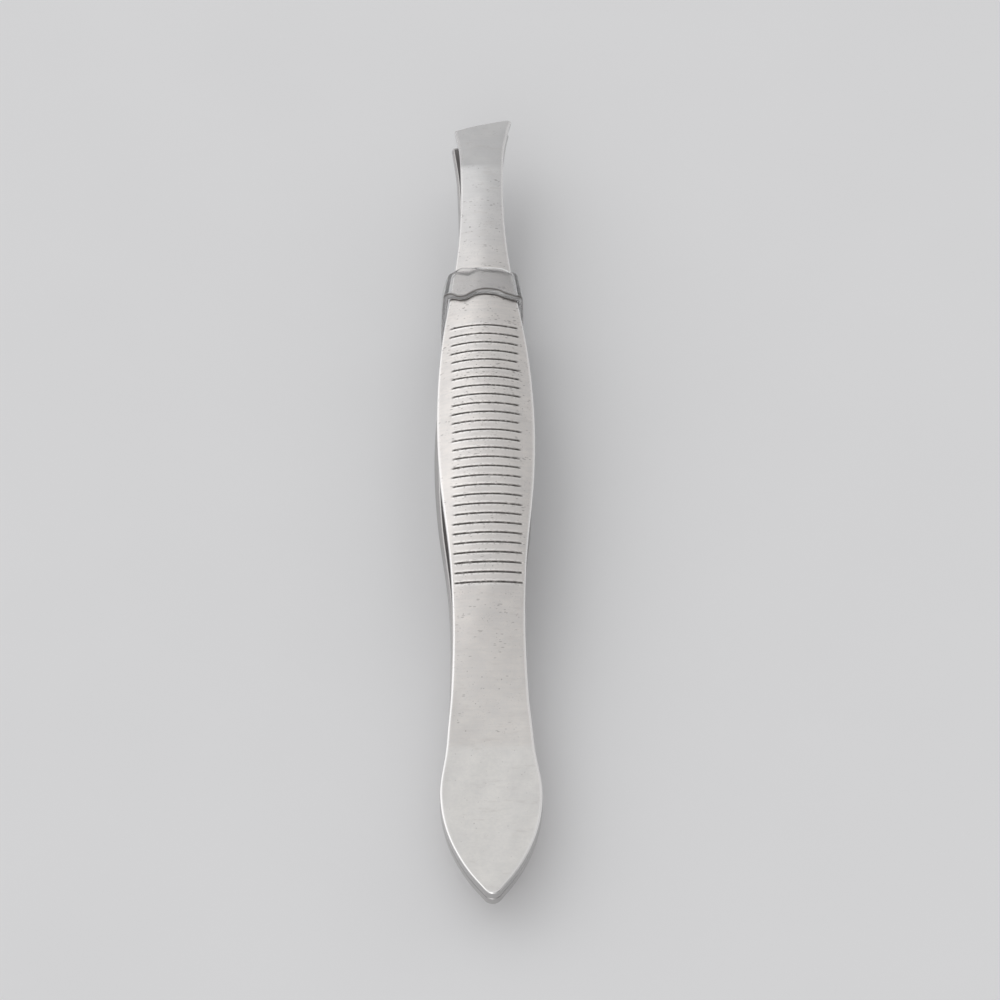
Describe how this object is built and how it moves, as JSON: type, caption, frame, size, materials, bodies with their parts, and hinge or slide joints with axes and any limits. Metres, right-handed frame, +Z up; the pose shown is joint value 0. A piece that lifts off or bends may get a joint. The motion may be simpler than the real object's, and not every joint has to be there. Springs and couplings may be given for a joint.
{
  "type": "slant tweezers",
  "caption": "Slant-tip stainless tweezers: two dished spring arms welded at a leaf-shaped tail, cross-grooved grips, angled flat jaws and a clear sliding retaining band.",
  "frame": {"origin": "centre of the whole object: mid-length, on the parting plane between the two arms and on their centre line", "axes": "+Y along the arms from the welded tail to the slanted jaws, +Z up out of the parting plane towards the upper arm, +X across the arms towards the longer corner of the jaws"},
  "size_m": [0.01, 0.092, 0.0122],
  "materials": {
    "satin_steel": "satin, tumbled",
    "weld_metal": "matte",
    "clear_pvc": "clear, glossy"
  },
  "bodies": {
    "tail": {"upper_arm_tail": "satin_steel", "lower_arm_tail": "satin_steel", "spot_welds": "weld_metal"},
    "upper_spring": {"upper_arm_spring": "satin_steel"},
    "upper_blade": {"upper_arm_blade": "satin_steel"},
    "lower_spring": {"lower_arm_spring": "satin_steel"},
    "lower_blade": {"lower_arm_blade": "satin_steel"},
    "band": {"retaining_band": "clear_pvc"}
  },
  "joints": [
    {"name": "upper_arm_spread", "type": "hinge", "parent": "tail", "child": "upper_spring", "pos_m": [0, -0.024, 0.0006], "axis": [1, 0, 0], "range_deg": [0, 2.4], "stiffness_Nm_per_rad": 2, "deforming": ["upper_arm_spring"]},
    {"name": "lower_arm_spread", "type": "hinge", "parent": "tail", "child": "lower_spring", "pos_m": [0, -0.024, -0.0006], "axis": [-1, 0, 0], "range_deg": [0, 2.4], "stiffness_Nm_per_rad": 2, "deforming": ["lower_arm_spring"]},
    {"name": "upper_arm_squeeze", "type": "hinge", "parent": "upper_spring", "child": "upper_blade", "pos_m": [0, -0.015, 0.0018], "axis": [-1, 0, 0], "range_deg": [0, 0.56], "stiffness_Nm_per_rad": 2, "deforming": ["upper_arm_spring"]},
    {"name": "lower_arm_squeeze", "type": "hinge", "parent": "lower_spring", "child": "lower_blade", "pos_m": [0, -0.015, -0.0018], "axis": [1, 0, 0], "range_deg": [0, 0.56], "stiffness_Nm_per_rad": 2, "deforming": ["lower_arm_spring"]},
    {"name": "band_slide", "type": "slide", "parent": "tail", "child": "band", "axis": [0, 1, 0], "range_m": [0, 0.04]}
  ],
  "couplings": [
    {"joint": "lower_arm_spread", "follows": "upper_arm_spread", "ratio": 1},
    {"joint": "band_slide", "follows": "upper_arm_spread", "m_per_rad": 0.9549},
    {"joint": "lower_arm_squeeze", "follows": "upper_arm_squeeze", "ratio": 1}
  ]
}
